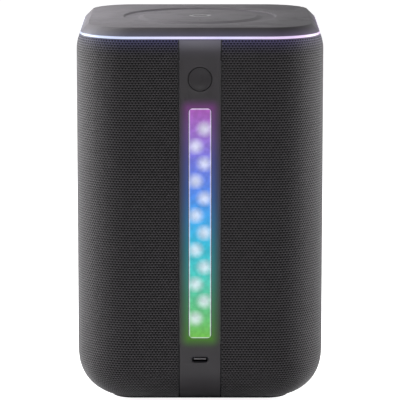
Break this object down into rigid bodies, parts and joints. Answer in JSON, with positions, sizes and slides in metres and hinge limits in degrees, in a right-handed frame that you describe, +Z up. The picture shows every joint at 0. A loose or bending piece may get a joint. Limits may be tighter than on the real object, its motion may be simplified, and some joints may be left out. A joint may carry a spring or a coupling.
{
  "type": "smart speaker",
  "caption": "Square, soft-cornered fabric speaker tower with a touch top, a light ring and a front strip with a mute button, a light bar and a USB-C socket.",
  "frame": {"origin": "middle of the foot's underside, on the surface the speaker stands on", "axes": "+Z up, +X to the right as seen from the front, -Y out of the control strip"},
  "size_m": [0.136, 0.136, 0.211],
  "materials": {
    "knit_fabric": "open knit, woven",
    "top_grey": "satin, fine grain",
    "mark_metal": "polished",
    "ring_milky": "milky, lit",
    "bar_milky": "milky, lit",
    "strip_grey": "satin, fine grain",
    "button_grey": "satin",
    "icon_white": "printed",
    "black_rubber": "matte",
    "black_plastic": "moulded",
    "white_plastic": "moulded",
    "circuit_green": "solder mask",
    "chip_black": "moulded",
    "lamp_ivory": "lamp",
    "steel": "plated",
    "port_steel": "satin",
    "ferrite": "ground",
    "copper": "enamelled wire",
    "paper_black": "pressed pulp",
    "spider_cloth": "varnished weave",
    "dome_silk": "coated silk",
    "alloy": "extruded",
    "capacitor_sleeve": "shrink sleeve",
    "cable_cream": "flat cable",
    "gold": "plated"
  },
  "bodies": {
    "speaker": {"rubber_foot": "black_rubber", "base_plate": "black_plastic", "base_screws": "steel", "lower_chassis": "black_plastic", "grille_frame": "black_plastic", "fabric_sleeve": "knit_fabric", "control_strip": "strip_grey", "strip_chassis": "white_plastic", "light_bar_lens": "bar_milky", "light_bar_board": "circuit_green", "light_bar_lamps": "lamp_ivory", "mute_switch": "steel", "button_board": "circuit_green", "usb_shell": "port_steel", "usb_tongue": "chip_black", "usb_board": "circuit_green", "top_plate": "top_grey", "top_mark": "mark_metal", "light_ring": "ring_milky", "touch_board": "circuit_green", "microphone": "gold", "mic_gasket": "black_rubber", "top_carrier": "black_plastic", "ring_board": "circuit_green", "ring_lamps": "lamp_ivory", "top_screws": "steel", "cabinet_body": "black_plastic", "cabinet_lid": "black_plastic", "cabinet_gasket": "black_rubber", "cabinet_screws": "steel", "woofer_basket": "steel", "woofer_gasket": "black_rubber", "woofer_screws": "steel", "woofer_front_plate": "steel", "woofer_magnet": "ferrite", "woofer_yoke": "steel", "woofer_surround": "black_rubber", "woofer_spider": "spider_cloth", "radiator_frames": "black_plastic", "radiator_surround_left": "black_rubber", "radiator_surround_right": "black_rubber", "tweeter_bracket": "black_plastic", "tweeter_bodies": "black_plastic", "main_board": "circuit_green", "board_chips": "chip_black", "shield_can": "steel", "heatsink": "alloy", "capacitors": "capacitor_sleeve", "ribbon_cable": "cable_cream", "wifi_antennas": "gold"},
    "mute_key": {"mute_button": "button_grey", "button_icon": "icon_white", "switch_plunger": "chip_black"},
    "woofer_piston": {"woofer_cone": "paper_black", "woofer_coil": "copper", "woofer_dust_cap": "paper_black"},
    "radiator_left": {"radiator_cone_left": "alloy"},
    "radiator_right": {"radiator_cone_right": "alloy"},
    "tweeter_left": {"tweeter_dome_left": "dome_silk"},
    "tweeter_right": {"tweeter_dome_right": "dome_silk"}
  },
  "joints": [
    {"name": "mute_press", "type": "slide", "parent": "speaker", "child": "mute_key", "axis": [0, 1, 0], "range_m": [0, 0.0005], "stiffness_N_per_m": 1200},
    {"name": "woofer_stroke", "type": "slide", "parent": "speaker", "child": "woofer_piston", "axis": [0, 0, 1], "range_m": [-0.0035, 0.0035], "stiffness_N_per_m": 1500, "deforming": ["woofer_surround", "woofer_spider"]},
    {"name": "radiator_left_stroke", "type": "slide", "parent": "speaker", "child": "radiator_left", "axis": [-1, 0, 0], "range_m": [-0.004, 0.004], "stiffness_N_per_m": 900, "deforming": ["radiator_surround_left"]},
    {"name": "radiator_right_stroke", "type": "slide", "parent": "speaker", "child": "radiator_right", "axis": [1, 0, 0], "range_m": [-0.004, 0.004], "stiffness_N_per_m": 900, "deforming": ["radiator_surround_right"]},
    {"name": "tweeter_left_stroke", "type": "slide", "parent": "speaker", "child": "tweeter_left", "axis": [0, -1, 0], "range_m": [-0.0003, 0.0003], "stiffness_N_per_m": 1500},
    {"name": "tweeter_right_stroke", "type": "slide", "parent": "speaker", "child": "tweeter_right", "axis": [0, -1, 0], "range_m": [-0.0003, 0.0003], "stiffness_N_per_m": 1500}
  ]
}
